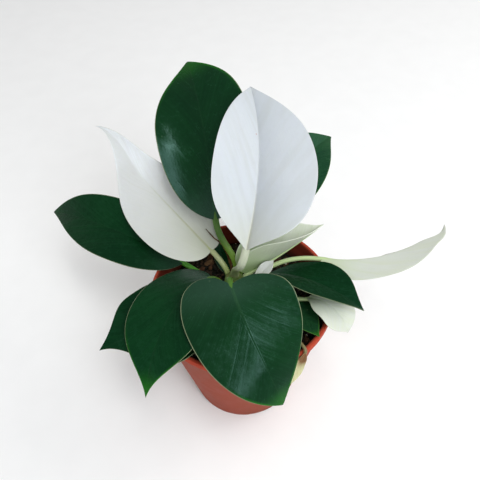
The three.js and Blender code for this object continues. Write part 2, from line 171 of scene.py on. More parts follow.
def meshPiece(name, points, faces, materials, values=None, faceSlots=None, sharpAngle=None):
    mesh = bpy.data.meshes.new(name)
    mesh.from_pydata((np.asarray(points) * millimetre).tolist(), [], faces)
    for material in materials:
        mesh.materials.append(material)
    for key, data in (values or {}).items():
        data = np.asarray(data, np.float32)
        kind, field = ("FLOAT", "value") if data.ndim == 1 else ("FLOAT_VECTOR", "vector")
        mesh.attributes.new(key, kind, "POINT").data.foreach_set(field, data.ravel())
    if faceSlots is not None:
        mesh.polygons.foreach_set("material_index", np.asarray(faceSlots, np.int32))
    mesh.shade_smooth()
    if sharpAngle is not None:
        mesh.set_sharp_from_angle(angle=math.radians(sharpAngle))
    mesh.validate()
    return placed(name, mesh)


def standsFor(piece, slot, *nodes):
    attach(piece, "root")
    if nodes:
        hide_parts(*nodes)


def unit(vectors):
    return vectors / np.maximum(np.linalg.norm(vectors, axis=-1, keepdims=True), 1e-9)


def skin(rings):  # faces between rings of corner numbers; a ring may be one corner repeated
    faces = []
    for low, high in zip(rings[:-1], rings[1:]):
        for k in range(len(low)):
            n = (k + 1) % len(low)
            faces.append(tuple(dict.fromkeys((low[k], low[n], high[n], high[k]))))
    return faces


def tube(stations, sides, groove=0.0):  # stations: (point, ahead, side, half width, half height)
    angles = 2 * math.pi * (np.arange(sides) + 0.5) / sides
    rings = []
    for point, ahead, side, halfWidth, halfHeight in stations:
        wide = unit(side - ahead * np.dot(side, ahead))
        high = np.cross(ahead, wide)
        lift = np.sin(angles) - groove * np.maximum(np.sin(angles), 0) ** 4
        rings.append(point + np.outer(np.cos(angles) * halfWidth, wide) + np.outer(lift * halfHeight, high))
    first = len(rings) * sides
    numbers = [range(i, i + sides) for i in range(0, first, sides)]
    points = np.concatenate(rings + [[stations[0][0]], [stations[-1][0]]])
    return points, skin([[first] * sides, *numbers, [first + 1] * sides])


def tubeMarks(places, sides):  # for each corner of a tube: how far along and how far round it lies
    around = np.abs(np.linspace(-1, 1, sides, endpoint=False))
    marks = [[run, turn, 0] for run in places for turn in around]
    return np.array(marks + [[places[0], 0, 0], [places[-1], 0, 0]])


def bezier(a, b, c, d, t):
    t = np.asarray(t)[:, None]
    return (1 - t) ** 3 * a + 3 * (1 - t) ** 2 * t * b + 3 * (1 - t) * t ** 2 * c + t ** 3 * d


# Leaves. base is where the blade starts; heading and rise are the midrib's direction at both ends.
# roll turns the blade round the midrib, fold lifts its halves, cup curls them towards the margin.
# lobe and widest shape the outline as parts of the length. tip is how full the left and the right
# half are before the tip, as parts of the half width, and blunt is how far along that fullness lies.
plainLeaf = dict(
    cup=(0, 0),
    # fresh also carries painted light: on the ivory leaf its young tint brightens the tip
    fresh=0.0,  # how far the leaf, or its left and right half, takes its young colour
    lean={},  # tilts the shading only, see plainLean
    tuck=0,  # how far the left half droops at its base
    hook=(0, 0.5, 0),  # how far the tip swings, where that starts, and 0 for level or 1 for along the roll
    groove=1,  # depth of the furrow over the midrib
    leftHalf={}, rightHalf={},  # changes to the outline of one half
)
# left and right: slope of that half at the base and the tip; curl: bend of the two halves
plainLean = dict(left=(0, 0), right=(0, 0), curl=(0, 0), ahead=0)
leaves = [
    dict(name="leaf_white_centre", look="white", stalkLook="grey", base=(4, -8, 188), heading=(72, 100),
         rise=(34, 9), length=145, width=90, roll=(19, 21), fold=(27, 29), lobe=-0.08, widest=0.41,
         tip=(0.27, 0.25), blunt=0.89, wave=0.5,
         stalk=dict(side=60, height=134, lift=84, width=6.2, flat=0.6, inside=1),
         lean=dict(left=(0, -0.3), right=(0.55, 0.25), curl=(0, -0.45))),
    dict(name="leaf_green_back", look="glossGreen", stalkLook="green", fresh=0.3, base=(-19, 38, 174),
         heading=(96, 103), rise=(55, -1), length=152, width=78, roll=(-4, -18), fold=(4, 5), lobe=-0.02,
         widest=0.5, tip=(0.49, 0.59), blunt=0.85, wave=0.6,
         stalk=dict(side=70, height=130, lift=62, width=5.4),
         lean=dict(left=(-0.34, -0.64), right=(0.1, 0.1), curl=(0.43, 0), ahead=0.25)),
    dict(name="leaf_white_left", look="ivory", stalkLook="olive", fresh=(0.3, 1.0), base=(-24, 28, 148.5),
         heading=(135, 131), rise=(20, 15), length=158, width=63, roll=(-25, -81), fold=(18, 8),
         cup=(13, 24), lobe=0.03, widest=0.34, tip=(0.04, 0.08), blunt=0.78, wave=0.4, hook=(9.3, 0.53, 1),
         leftHalf=dict(width=72, widest=0.31, blunt=0.8),
         stalk=dict(side=125, height=126, lift=88, width=4.6),
         lean=dict(left=(0, 0.1), right=(-0.45, -0.45))),
    dict(name="leaf_green_far_left", look="green", stalkLook="bright", fresh=0.15, base=(-49, 31.4, 129.4),
         heading=(156, 143), rise=(20, -27), length=154, width=56, roll=(-19, -44), fold=(17, 13.5),
         lobe=-0.02, widest=0.41, tip=(0.32, 0.5), blunt=0.84, wave=0.6,
         stalk=dict(side=160, height=118, lift=20, width=4.4),
         lean=dict(left=(0.1, 0.1), right=(-0.2, -0.2))),
    dict(name="leaf_green_low_left", look="green", stalkLook="green", base=(-28, 3.5, 134.6),
         heading=(-131, -154), rise=(4, -1), length=100, width=79, roll=(1, -1), fold=(-6, -11), lobe=0,
         widest=0.5, tip=(0.06, 0.58), blunt=0.77, wave=0.5,
         stalk=dict(side=-155, height=115, lift=30, width=4.2),
         lean=dict(left=(0.2, 0.2), right=(0.3, 0.3))),
    dict(name="leaf_green_front_left", look="green", stalkLook="green", fresh=0.4, base=(-25, 7, 139),
         heading=(-131, -102), rise=(32, -56), length=119, width=67, roll=(6, 9), fold=(-4, 9), lobe=0.11,
         widest=0.45, tip=(0.19, 0.13), blunt=0.8, wave=0.7,
         stalk=dict(side=-178, height=125, lift=50, width=4.8)),
    dict(name="leaf_green_front", look="glossGreen", stalkLook="green", fresh=0.35, base=(-8, -18, 161),
         heading=(-76, -46), rise=(-3, -66), length=103, width=87, roll=(3, 2), fold=(5, 5), lobe=0.07,
         widest=0.23, tip=(0.37, 0.51), blunt=0.83, wave=0.6, groove=0.25, rightHalf=dict(lobe=0.17),
         stalk=dict(side=-95, height=128, lift=60, width=5),
         lean=dict(left=(-0.15, -0.15), right=(-0.3, -0.3))),
    dict(name="leaf_green_right", look="green", stalkLook="green", fresh=0.05, base=(23, 15, 132),
         heading=(-29, -38), rise=(32, -20), length=88, width=58, roll=(-28, -20), fold=(7, 15), lobe=-0.06,
         widest=0.51, tip=(0.32, 0.36), blunt=0.82, wave=0.5,
         stalk=dict(side=-5, height=123, lift=25, width=4.2),
         lean=dict(left=(0.35, 0.35), right=(-0.42, -0.42))),
    dict(name="leaf_white_right", look="cream", stalkLook="pale", fresh=0.3, base=(71, 26, 136),
         heading=(-10, 40), rise=(-3, 10), length=114, width=56, roll=(-18, -55), fold=(-13, -17), lobe=0.09,
         widest=0.4, tip=(0.4, 0.3), blunt=0.86, wave=0.3, hook=(3.6, 0.75, 0),
         stalk=dict(side=32, height=117, lift=25, width=4), lean=dict(right=(-0.25, -0.25)), tuck=38),
    dict(name="leaf_white_low", look="cream", stalkLook="pale", base=(51, -16, 138.5), heading=(-17, -56),
         rise=(19, -73), length=48, width=41, roll=(-22, -6), fold=(6, 4), lobe=-0.12, widest=0.45,
         tip=(0.62, 0.12), blunt=0.88, wave=0.4, stalk=dict(side=-33, height=118.5, lift=25, width=3.4)),
    dict(name="leaf_pale_young", look="pale", stalkLook="pale", fresh=0.5, base=(5, 13, 136),
         heading=(16, 19), rise=(22, 34), length=75, width=59, roll=(-13, -9), fold=(67, 41), cup=(24, 3),
         lobe=0.11, widest=0.37, tip=(0.1, 0.18), blunt=0.84, wave=0.3,
         stalk=dict(side=18, height=128.5, lift=50, width=4)),
    dict(name="leaf_green_back_right", look="freshGreen", stalkLook="green", fresh=0.1, base=(15, 47, 154),
         heading=(51, 46), rise=(46, -12), length=114, width=62, roll=(8, 17), fold=(15, 14), lobe=0.1,
         widest=0.4, tip=(0.41, 0.33), blunt=0.84, wave=0.6,
         stalk=dict(side=68, height=121, lift=45, width=4.4)),
    dict(name="leaf_green_small", look="freshGreen", stalkLook="bright", fresh=0.5, base=(35, -7, 124),
         heading=(-55, -68), rise=(13, 10), length=49, width=24, roll=(4, 7), fold=(15, 7), lobe=0.1,
         widest=0.4, tip=(0.19, 0.29), blunt=0.85, wave=0.3,
         stalk=dict(side=-55, height=114, lift=25, width=3)),
    dict(name="leaf_green_inner", look="green", stalkLook="bright", fresh=0.2, base=(-13, 26, 123),
         heading=(104, 99), rise=(24, 2), length=28, width=16, roll=(12, 9), fold=(18, 7), lobe=0.07,
         widest=0.5, tip=(0.43, 0.43), blunt=0.78, wave=0.2,
         stalk=dict(side=112, height=118, lift=30, width=2.6)),
    dict(name="leaf_white_inner", look="ivory", stalkLook="pale", base=(13, 1, 143), heading=(42, 42),
         rise=(28, 20), length=20, width=11, roll=(0, 0), fold=(18, 12), lobe=0.1, widest=0.5,
         tip=(0.6, 0.6), blunt=0.78, wave=0.2, stalk=dict(side=-25, height=128, lift=45, width=2.8)),
    dict(name="leaf_yellowed_old", look="yellowed", stalkLook="yellowed", base=(46, -61.5, 131.8),
         heading=(-134, -162), rise=(-55, -82), length=38, width=9, roll=(-51, -76), fold=(17, 5), lobe=0.0,
         widest=0.49, tip=(0.42, 0.42), blunt=0.78, wave=0.3,
         stalk=dict(side=-80, height=118, lift=12, width=2.6, reach=0.14)),
]

bladeRule = dict(
    thickness=0.9,  # at the midrib
    marginThickness=0.6,
    roundedMargin=0.035,  # outer part of each half over which the margin is rounded
    rows=72, columns=20, midribSteps=48, curveSteps=400,
    rowCrowding=1.25, columnCrowding=1.1,  # above 1: closer together at the base and at the midrib
    attachWidth=0.4, lobePull=1.3, shoulderPull=0.75,  # how the outline leaves the stalk
    waves=2.5, waveStart=(0.6, 2.4),  # waves along the margin of the left and the right half
    tuckReach=0.55,
    grooveDepth=0.2, grooveWidth=1.8,  # the furrow over the midrib
    ripple=0.22,  # small uneven swells of the blade
)
stalkRule = dict(
    sides=18, steps=44, ribSteps=30, groove=0.16,
    inside=6.4,  # where it starts, from the stem's axis
    swelling=0.25, swollenPart=1 / 3,
    flat=1, reach=0.42,  # height as part of the width, and how stiffly it leaves both ends
    ribReach=0.94, ribThinning=0.82, ribSunk=0.55, ribSunkUnder=0.98,
)
stem = dict(
    x=-6, y=8, radius=9, bottom=64, top=138, sides=64, rows=110,
    scars=5, scarDepth=0.5, lowerScarDepth=0.25, taper=0.14, taperHeight=14,
)


def between(pair, c):
    return pair[0] + (pair[1] - pair[0]) * np.asarray(c, float)


def directionAt(leaf, c):
    heading, rise = np.radians(between(leaf["heading"], c)), np.radians(between(leaf["rise"], c))
    return np.stack([np.cos(heading) * np.cos(rise), np.sin(heading) * np.cos(rise), np.sin(rise)], -1)


def midribOf(leaf):
    steps = bladeRule["midribSteps"]
    moves = directionAt(leaf, (np.arange(steps) + 0.5) / steps) * leaf["length"] / steps
    return np.vstack([[0, 0, 0], np.cumsum(moves, 0)]) + leaf["base"]


# The middle of the bent blade at the distances u from its base, and the axes of the blade there
def bladeAxes(leaf, u):
    u = np.asarray(u, float)
    c = np.clip(u / leaf["length"], 0, 1)
    ahead = directionAt(leaf, c)
    heading, roll = np.radians(between(leaf["heading"], c)), np.radians(between(leaf["roll"], c))
    level = np.stack([-np.sin(heading), np.cos(heading), np.zeros_like(c)], -1)
    upright = np.cross(ahead, level)

    def turned(angle):
        return level * np.cos(angle)[..., None] + upright * np.sin(angle)[..., None]

    across = turned(roll)
    midrib = midribOf(leaf)
    place = c * bladeRule["midribSteps"]
    step = np.minimum(place.astype(int), bladeRule["midribSteps"] - 1)
    point = midrib[step] + (midrib[step + 1] - midrib[step]) * (place - step)[..., None]
    point = point + ahead * np.minimum(u, 0)[..., None]
    swing, start, rolled = leaf["hook"]
    late = np.clip((c - start) / (1 - start), 0, 1)
    bend = 6.75 * late ** 2 * (1 - late)  # 1 at its peak
    point = point - turned(roll * rolled) * (swing * bend)[..., None]
    return point, ahead, across, np.cross(ahead, across)


def outlineOf(leaf, side):  # the flat outline of half a blade, in evenly spaced points
    leaf = leaf | leaf["leftHalf" if side > 0 else "rightHalf"]
    long, half = leaf["length"], leaf["width"] / 2
    lobe, widest, tip = leaf["lobe"], leaf["widest"], leaf["tip"][0 if side > 0 else 1]
    shoulder = widest - bladeRule["shoulderPull"] * (widest + max(lobe, 0))
    wide = np.array([widest * long, half])
    t = np.linspace(0, 1, bladeRule["curveSteps"])
    leaving = np.array([-bladeRule["lobePull"] * lobe * long, bladeRule["attachWidth"] * half])
    first = bezier(np.zeros(2), leaving, np.array([shoulder * long, half]), wide, t)
    second = bezier(wide, np.array([(0.5 + 0.5 * widest) * long, half]),
                    np.array([leaf["blunt"] * long, tip * half]), np.array([long, 0.0]), t)
    path = np.vstack([first, second[1:]])
    run = np.concatenate([[0], np.cumsum(np.linalg.norm(np.diff(path, axis=0), axis=1))])
    even = np.linspace(0, run[-1], bladeRule["rows"] + 1)
    return np.stack([np.interp(even, run, path[:, 0]), np.interp(even, run, path[:, 1])], -1)


# Where points (u, v) of the flat blade lie once it is bent, folded and cupped
def bladePoints(leaf, u, v):
    point, ahead, across, out = bladeAxes(leaf, u)
    c = np.clip(u / leaf["length"], 0, 1)
    half = leaf["width"] / 2
    tuck = np.where(v > 0, leaf["tuck"], 0) * np.clip(1 - c / bladeRule["tuckReach"], 0, 1)
    fold = np.radians(between(leaf["fold"], c) - tuck)
    cup = np.radians(np.maximum(between(leaf["cup"], c), 0.1))
    away = np.abs(v) / half
    radius = half / cup
    sideways = radius * (np.sin(fold + cup * away) - np.sin(fold))
    wave = np.sin(2 * np.pi * bladeRule["waves"] * c + np.where(v > 0, *bladeRule["waveStart"]))
    lifted = radius * (np.cos(fold) - np.cos(fold + cup * away)) + leaf["wave"] * away ** 2 * wave
    return point + across * (np.sign(v) * sideways)[..., None] + out * lifted[..., None]


def bladeSurface(leaf, shift):
    rows, columns = bladeRule["rows"], bladeRule["columns"]
    left, right = outlineOf(leaf, 1), outlineOf(leaf, -1)
    rounded = 1 - bladeRule["roundedMargin"]
    spread = np.linspace(0, 1, columns - 2) ** bladeRule["columnCrowding"] * rounded
    spread = np.concatenate([spread, [between((rounded, 1), part) for part in (0.5, 0.85, 1)]])
    signed = np.concatenate([-spread[:0:-1], spread])
    start = leaf["length"] * (np.arange(rows + 1) / rows) ** bladeRule["rowCrowding"]
    margin = np.where(signed[None, :, None] < 0, right[:, None, :], left[:, None, :])
    u = start[:, None] + (margin[..., 0] - start[:, None]) * np.abs(signed)
    v = margin[..., 1] * signed
    middle = bladePoints(leaf, u, v)
    normal = np.cross(np.gradient(middle, axis=0), np.gradient(middle, axis=1))
    normal[0], normal[-1] = normal[1].mean(0), normal[-2].mean(0)
    normal = unit(normal)
    along = np.clip(u / leaf["length"], 0, 1)
    edge = np.broadcast_to(np.abs(signed), along.shape)
    swell = np.sin(u / 9 + shift) * np.sin(v / 7 + 2 * shift) + 0.6 * np.sin(u / 5 - v / 6 + 3 * shift)
    middle = middle + normal * (bladeRule["ripple"] * swell * edge * (1 - edge ** 4))[..., None]
    thick = between((bladeRule["thickness"], bladeRule["marginThickness"]), edge) / 2
    thick = thick * np.sqrt(1 - np.clip((edge - rounded) / (1 - rounded), 0, 1) ** 2)
    furrow = np.exp(-(v / bladeRule["grooveWidth"]) ** 2) * bladeRule["grooveDepth"] * leaf["groove"]
    furrow = furrow * np.sqrt(np.clip(1 - along, 0, 1)) * np.clip(margin[..., 1] / 5, 0, 1)
    top = middle + normal * (thick - furrow)[..., None]
    low = middle - normal * thick[..., None]
    values = np.stack([along, v / (leaf["width"] / 2), edge], -1)
    lean = plainLean | leaf["lean"]
    out = np.abs(v)
    slope = np.where(v > 0, between(lean["left"], along), between(lean["right"], along))
    curl = np.where(v > 0, *lean["curl"])
    leaning = slope * out + curl * out ** 2 / leaf["width"] * 2 + lean["ahead"] * u
    return middle, top, low, values, leaning


def bladeParts(leaf, shift):
    middle, top, low, values, lean = bladeSurface(leaf, shift)
    count, wide = top.shape[:2]
    topIndex = np.arange(count * wide).reshape(count, wide)
    lowIndex = topIndex + count * wide
    topIndex[0, :], topIndex[-1, :] = topIndex[0, 0], topIndex[-1, 0]
    lowIndex[0, :], lowIndex[-1, :] = topIndex[0, 0], topIndex[-1, 0]
    lowIndex[:, 0], lowIndex[:, -1] = topIndex[:, 0], topIndex[:, -1]
    top[0, :], top[-1, :] = middle[0, 0], middle[-1, 0]
    faces = []
    for i in range(count - 1):
        for j in range(wide - 1):
            for index, flip in ((topIndex, False), (lowIndex, True)):
                corners = [index[i, j], index[i + 1, j], index[i + 1, j + 1], index[i, j + 1]]
                corners = [int(c) for c in dict.fromkeys(corners)]
                faces.append(corners[::-1] if flip else corners)
    points = np.concatenate([top.reshape(-1, 3), low.reshape(-1, 3)])
    under = np.concatenate([np.zeros(count * wide), np.ones(count * wide)])
    blade = np.concatenate([values.reshape(-1, 3)] * 2)
    leaning = np.concatenate([lean.ravel(), lean.ravel() * 0])
    used = np.unique(np.concatenate([np.array(f) for f in faces]))
    renumber = np.zeros(len(points), int)
    renumber[used] = np.arange(len(used))
    faces = [tuple(int(c) for c in renumber[f]) for f in faces]
    return points[used], faces, blade[used], under[used], leaning[used]


# The stalk's route from its socket in the stem to the blade, and on under the blade as its rib
def stalkStations(leaf):
    stalk = stalkRule | leaf["stalk"]
    turn, up = math.radians(stalk["side"]), math.radians(stalk["lift"])
    outward = np.array([math.cos(turn), math.sin(turn), 0])
    start = np.array([stem["x"], stem["y"], stalk["height"]]) + outward * stalk["inside"]
    leaving = outward * math.cos(up) + upAxis * math.sin(up)
    point, ahead, across, out = (a[0] for a in bladeAxes(leaf, [0.0]))
    half, flat = stalk["width"] / 2, stalk["flat"]
    end = point - out * stalk["ribSunk"] * half * flat
    reach = stalk["reach"] * np.linalg.norm(end - start)
    t = np.linspace(0, 1, stalk["steps"] + 1)
    route = bezier(start, start + leaving * reach, end - ahead * reach, end, t)
    heading = unit(np.gradient(route, axis=0))
    swell = 1 + stalk["swelling"] * (1 - np.minimum(t / stalk["swollenPart"], 1)) ** 2
    stations = [(p, h, across, half * s, half * s * flat) for p, h, s in zip(route, heading, swell)]
    c = stalk["ribReach"] * np.arange(1, stalk["ribSteps"] + 1) / stalk["ribSteps"]
    thin = 1 - stalk["ribThinning"] * np.minimum(c / 0.86, 1) ** 0.6
    thin = thin * np.clip((1.02 - c) / 0.16, 0, 1) ** 0.5
    sunk = between((stalk["ribSunk"], stalk["ribSunkUnder"]), np.clip(c / 0.12, 0, 1))
    for p, a, side, o, thinner, deep in zip(*bladeAxes(leaf, c * leaf["length"]), thin, sunk):
        high = half * thinner * flat
        stations.append((p - o * deep * high, a, side, half * thinner, high))
    return stations, [*t, *(1 + c)]


# Leaf colours. young lies towards the tip and the margin, heart round the stalk.
# On the green looks heart is a painted sheen; on the ivory look young also paints light
# on the tip. The shares say how far each marking covers the body colour, heartReach and
# youngFrom how far it goes along the leaf.
plainLook = dict(
    slot="leaf_white", roughness=0.42, specular=0.2, shine=(1, 1, 1, 1), subsurface=0.12, veinShare=0.12,
    bandShare=0.5, ribShare=0.7, marginShare=0.6, heartShare=0.6, heartReach=0.42, youngFrom=0.76,
)
greenLook = plainLook | dict(
    slot="leaf_green", specular=0.1, shine=(0.5, 1.0, 0.92, 1), subsurface=0.0, bandShare=0.0,
)
leafLooks = {
    # on the green looks heart is a painted sheen: its bluish grey round the stalk stands in for reflected
    # light
    "green": greenLook | dict(
        deep=paint(6, 40, 17), light=paint(13, 55, 25), streak=paint(30, 74, 48), vein=paint(22, 60, 36),
        midrib=paint(46, 82, 50), heart=paint(44, 72, 56), margin=paint(150, 160, 124),
        young=paint(36, 104, 18), below=paint(70, 108, 66), speck=paint(70, 92, 70),
        roughness=0.27, ribShare=0.45, marginShare=0.7, heartShare=0.8, heartReach=0.36),
    # freshGreen: a lighter copy of green, partly a fresher young green and partly painted light that
    # brightens small leaves sitting in shade
    "freshGreen": greenLook | dict(
        deep=paint(22, 58, 38), light=paint(36, 82, 44), streak=paint(44, 90, 54), vein=paint(40, 86, 52),
        midrib=paint(72, 116, 60), heart=paint(42, 80, 50), margin=paint(126, 154, 96),
        young=paint(48, 112, 30), below=paint(84, 120, 72), speck=paint(84, 104, 76),
        roughness=0.3, ribShare=0.5),
    "white": plainLook | dict(
        deep=paint(191, 197, 203), light=paint(202, 206, 210), streak=paint(178, 183, 184),
        vein=paint(190, 193, 188), midrib=paint(196, 197, 180), heart=paint(184, 187, 170),
        margin=paint(216, 219, 219), young=paint(212, 214, 206), below=paint(196, 199, 190),
        speck=paint(168, 112, 102), bandShare=0.36, ribShare=0.6, marginShare=0.5),
    # on this look young is brighter and bluer than the leaf: it paints light on the tip, besides a young
    # tint
    "ivory": plainLook | dict(
        deep=paint(204, 206, 204), light=paint(214, 217, 218), streak=paint(203, 202, 194),
        vein=paint(198, 196, 180), midrib=paint(172, 174, 140), heart=paint(176, 180, 158),
        margin=paint(206, 206, 192), young=paint(238, 243, 247), below=paint(196, 196, 180),
        speck=paint(160, 126, 104), veinShare=0.14, bandShare=0.16, marginShare=0.5,
        heartShare=0.8, heartReach=0.75, youngFrom=0.3),
    "cream": plainLook | dict(
        deep=paint(200, 205, 195), light=paint(210, 214, 207), streak=paint(198, 204, 182),
        vein=paint(192, 202, 172), midrib=paint(164, 186, 132), heart=paint(176, 192, 146),
        margin=paint(166, 174, 146), young=paint(212, 216, 206), below=paint(202, 207, 188),
        speck=paint(176, 130, 110), slot="leaf_cream", subsurface=0.15, veinShare=0.2, marginShare=0.5),
    "pale": plainLook | dict(
        deep=paint(204, 211, 194), light=paint(216, 220, 208), streak=paint(188, 200, 168),
        vein=paint(178, 194, 158), midrib=paint(150, 180, 116), heart=paint(154, 186, 116),
        margin=paint(232, 235, 226), young=paint(222, 226, 216), below=paint(202, 210, 188),
        speck=paint(186, 150, 126), slot="leaf_cream", subsurface=0.15, veinShare=0.25, ribShare=0.8,
        heartShare=0.9, heartReach=0.8),
    "yellowed": plainLook | dict(
        deep=paint(204, 204, 158), light=paint(222, 222, 184), streak=paint(190, 178, 122),
        vein=paint(180, 160, 106), midrib=paint(190, 176, 118), heart=paint(118, 84, 52),
        margin=paint(190, 172, 124), young=paint(180, 150, 96), below=paint(200, 198, 152),
        speck=paint(140, 92, 52), slot="leaf_yellowed", roughness=0.55, subsurface=0.1, veinShare=0.4,
        bandShare=0.4, ribShare=0.8, heartShare=2.2, heartReach=0.6),
}
leafLooks["glossGreen"] = leafLooks["green"] | dict(
    deep=paint(3, 37, 12), light=paint(10, 52, 20), roughness=0.21, specular=0.2, shine=(0.56, 1.0, 0.94, 1),
)
# veins, bands and streaks: how many along the leaf; the others: scales of noise and of cells
leafDetail = dict(veins=9, bands=12, streaks=130, sway=30.0, cloud=22.0, quilt=75.0, mottle=230.0,
                  pores=900.0, specks=95.0, speckPatches=60.0, pits=420.0)


def leafFinish(name):
    look, detail = leafLooks[name], leafDetail
    material, wire, place = newFinish("leaf " + name)
    along, across, edge = wire.attribute("blade").parts()
    fresh, shift = wire.attribute("growth").parts()[:2]
    under, lean = wire.attribute("under", "Fac"), wire.attribute("lean", "Fac")
    side = abs(across)
    hand = across.rising(-0.001, 0.001)  # 0 on the right half, 1 on the left
    # a side vein keeps the same reach: it leaves the midrib at a small angle and bends outward
    sway = place.noise(detail["sway"], 1.0) - 0.5
    reach = along - side * 0.58 + side * side * 0.14 + hand * 0.03 + sway * 0.03
    wave = abs((reach * detail["veins"] * math.pi + shift).cosine())
    faint = wire.joined(reach * detail["veins"], hand * 7, shift).noise(1.0, 0.0)
    veins = wave ** 24 * (1 - edge.rising(0.6, 0.96)) * side.rising(0.02, 0.12) * faint.rising(0.35, 0.7)
    grain = wire.joined(reach * detail["streaks"] + shift, side * 2.5 + hand * 9, shift)
    streaks = grain.noise(1.0, 3.0, 0.6)
    bands = wire.joined(reach * detail["bands"] + shift, side * 1.4 + hand * 5, shift).noise(1.0, 2.0)
    cloud = place.noise(detail["cloud"], 3.0)
    quilt = place.noise(detail["quilt"], 2.0)
    mottle = place.noise(detail["mottle"], 3.0, 0.65)
    pores = place.noise(detail["pores"], 2.0)
    ribWidth = 0.045 - along * 0.034
    rib = 1 - side.rising(ribWidth * 0.35, ribWidth)
    nearBase = 1 - along.rising(0.0, look["heartReach"])
    rim = edge.rising(0.982, 0.994)
    rare = place.noise(detail["speckPatches"], 1.0).rising(0.6, 0.66)
    specks = (1 - place.cells(detail["specks"]).rising(0.05, 0.09)) * rare
    pits = 1 - place.cells(detail["pits"]).rising(0.1, 0.2)
    youngTintAndLightRim = edge.rising(0.84, 1.0) * along.rising(0.5, 0.85) * 0.9
    young = along.rising(look["youngFrom"], 1.0) * 0.9 + youngTintAndLightRim

    mixture = (cloud - 0.5) * 0.9 + (bands - 0.5) * 0.6 + (streaks - 0.5) * 0.4 + fresh * 0.5 + 0.3
    body = layered(
        look["deep"],
        (mixture.rising(0.0, 1.0), look["light"]),
        # young: a real young tint, and on the ivory look painted light on the tip
        ((young * fresh * 2 + (cloud - 0.5) * fresh).rising(0.05, 1.0), look["young"]),
        (bands.rising(0.38, 0.68) * look["bandShare"], look["streak"]),
        (streaks.rising(0.52, 0.78) * 0.2 + mottle.rising(0.5, 0.7) * 0.12, look["streak"]),
        (veins * look["veinShare"], look["vein"]),
        (under * 0.75, look["below"]),
        # heart: a real tint round the stalk on the pale looks, a painted sheen on the green looks
        (nearBase ** 2 * (1 - side * 0.6) * look["heartShare"], look["heart"]),
        (rib * (0.1 + nearBase * 0.9) * look["ribShare"], look["midrib"]),
        (rim * look["marginShare"], look["margin"]),
        (specks * 0.6, look["speck"]))

    relief = streaks * 0.045 + bands * 0.3 + pores * 0.008 + cloud * 0.5 + quilt * 0.16 + mottle * 0.05
    relief = relief + lean - veins * 0.04 - rib * 0.08 * (1 - under) - specks * 0.05 - pits * cloud * 0.05
    gloss = look["roughness"] + (cloud - 0.5) * 0.25 + (streaks - 0.5) * 0.25 + (mottle - 0.5) * 0.4
    return closeFinish(material, {
        "Base Color": body,
        "Roughness": gloss + under * 0.22,
        "Specular IOR Level": look["specular"],
        "Specular Tint": look["shine"],
        "Subsurface Weight": look["subsurface"],
        "Subsurface Radius": (0.004, 0.005, 0.003),
    }, relief)


# Stalk colours run from the stem (low) to the blade (high)
stalkLooks = {
    "green": dict(low=paint(124, 160, 62), high=paint(68, 108, 34), fleck=paint(146, 180, 90)),
    "bright": dict(low=paint(98, 166, 50), high=paint(76, 144, 44), fleck=paint(138, 194, 92)),
    "grey": dict(low=paint(160, 174, 126), high=paint(166, 172, 150), fleck=paint(200, 206, 186)),
    "olive": dict(low=paint(172, 186, 116), high=paint(170, 178, 130), fleck=paint(206, 210, 172)),
    "pale": dict(low=paint(186, 204, 146), high=paint(184, 204, 148), fleck=paint(214, 224, 188)),
    "yellowed": dict(low=paint(92, 84, 54), high=paint(116, 108, 72), fleck=paint(150, 116, 70)),
}


def stalkFinish(name):
    look = stalkLooks[name]
    material, wire, place = newFinish("stalk " + name)
    run, around = wire.attribute("blade").parts()[:2]
    fibre = wire.joined(around * 26, run * 5).noise(1.0, 3.0, 0.6)
    cloud = place.noise(70.0, 3.0)
    pores = place.noise(700.0, 2.0)
    body = layered(
        look["low"],
        ((run.rising(0.15, 0.95) + (cloud - 0.5) * 0.5).rising(0.0, 1.0), look["high"]),
        (fibre.rising(0.5, 0.8) * 0.35, look["fleck"]),
        ((1 - run.rising(0.02, 0.12)) * 0.5, paint(150, 132, 78)))
    return closeFinish(material, {
        "Base Color": body,
        "Roughness": 0.38 + (fibre - 0.5) * 0.2,
        "Specular IOR Level": 0.35,
        "Subsurface Weight": 0.08,
        "Subsurface Radius": (0.002, 0.003, 0.001),
    }, fibre * 0.12 + pores * 0.02 + cloud * 0.2)


def makeLeaves():
    bladeFinishes = {name: leafFinish(name) for name in leafLooks}
    stalkFinishes = {name: stalkFinish(name) for name in stalkLooks}
    sides = stalkRule["sides"]
    for number, leaf in enumerate(leaves):
        leaf = plainLeaf | leaf
        shift = 1.7 * number + 0.4  # so that no two leaves have the same markings
        points, faces, blade, under, leaning = bladeParts(leaf, shift)
        stations, places = stalkStations(leaf)
        tubePoints, tubeFaces = tube(stations, sides, stalkRule["groove"])
        offset = len(points)
        slots = [0] * len(faces) + [1] * len(tubeFaces)
        faces = faces + [tuple(c + offset for c in f) for f in tubeFaces]
        growth = np.tile([0, shift, 0], (offset + len(tubePoints), 1))
        growth[:offset, 0] = np.where(blade[:, 1] > 0, *np.broadcast_to(leaf["fresh"], 2))
        values = {"blade": np.vstack([blade, tubeMarks(places, sides)]), "growth": growth,
                  "under": np.concatenate([under, np.ones(len(tubePoints))]),
                  "lean": np.concatenate([leaning, np.zeros(len(tubePoints))])}
        materials = [bladeFinishes[leaf["look"]], stalkFinishes[leaf["stalkLook"]]]
        name = leaf["name"].replace("leaf_", "blade_")
        piece = meshPiece(name, np.vstack([points, tubePoints]), faces, materials, values, slots)
        standsFor(piece, leafLooks[leaf["look"]]["slot"], leaf["name"])
    print("leaves:", len(leaves))


# The pot, turned from its profile and then drilled and notched
pot = dict(
    height=130, rimRadius=75, baseRadius=48, wall=1.6, lipHeight=6, lipStep=2.6, lipTop=3.4,
    footHeight=4, footWidth=5, centreRadius=13, drainHoles=6, drainRadius=4,
    notches=4, notchWidth=34, notchHeight=1.8, firstNotch=25, sides=180,
)


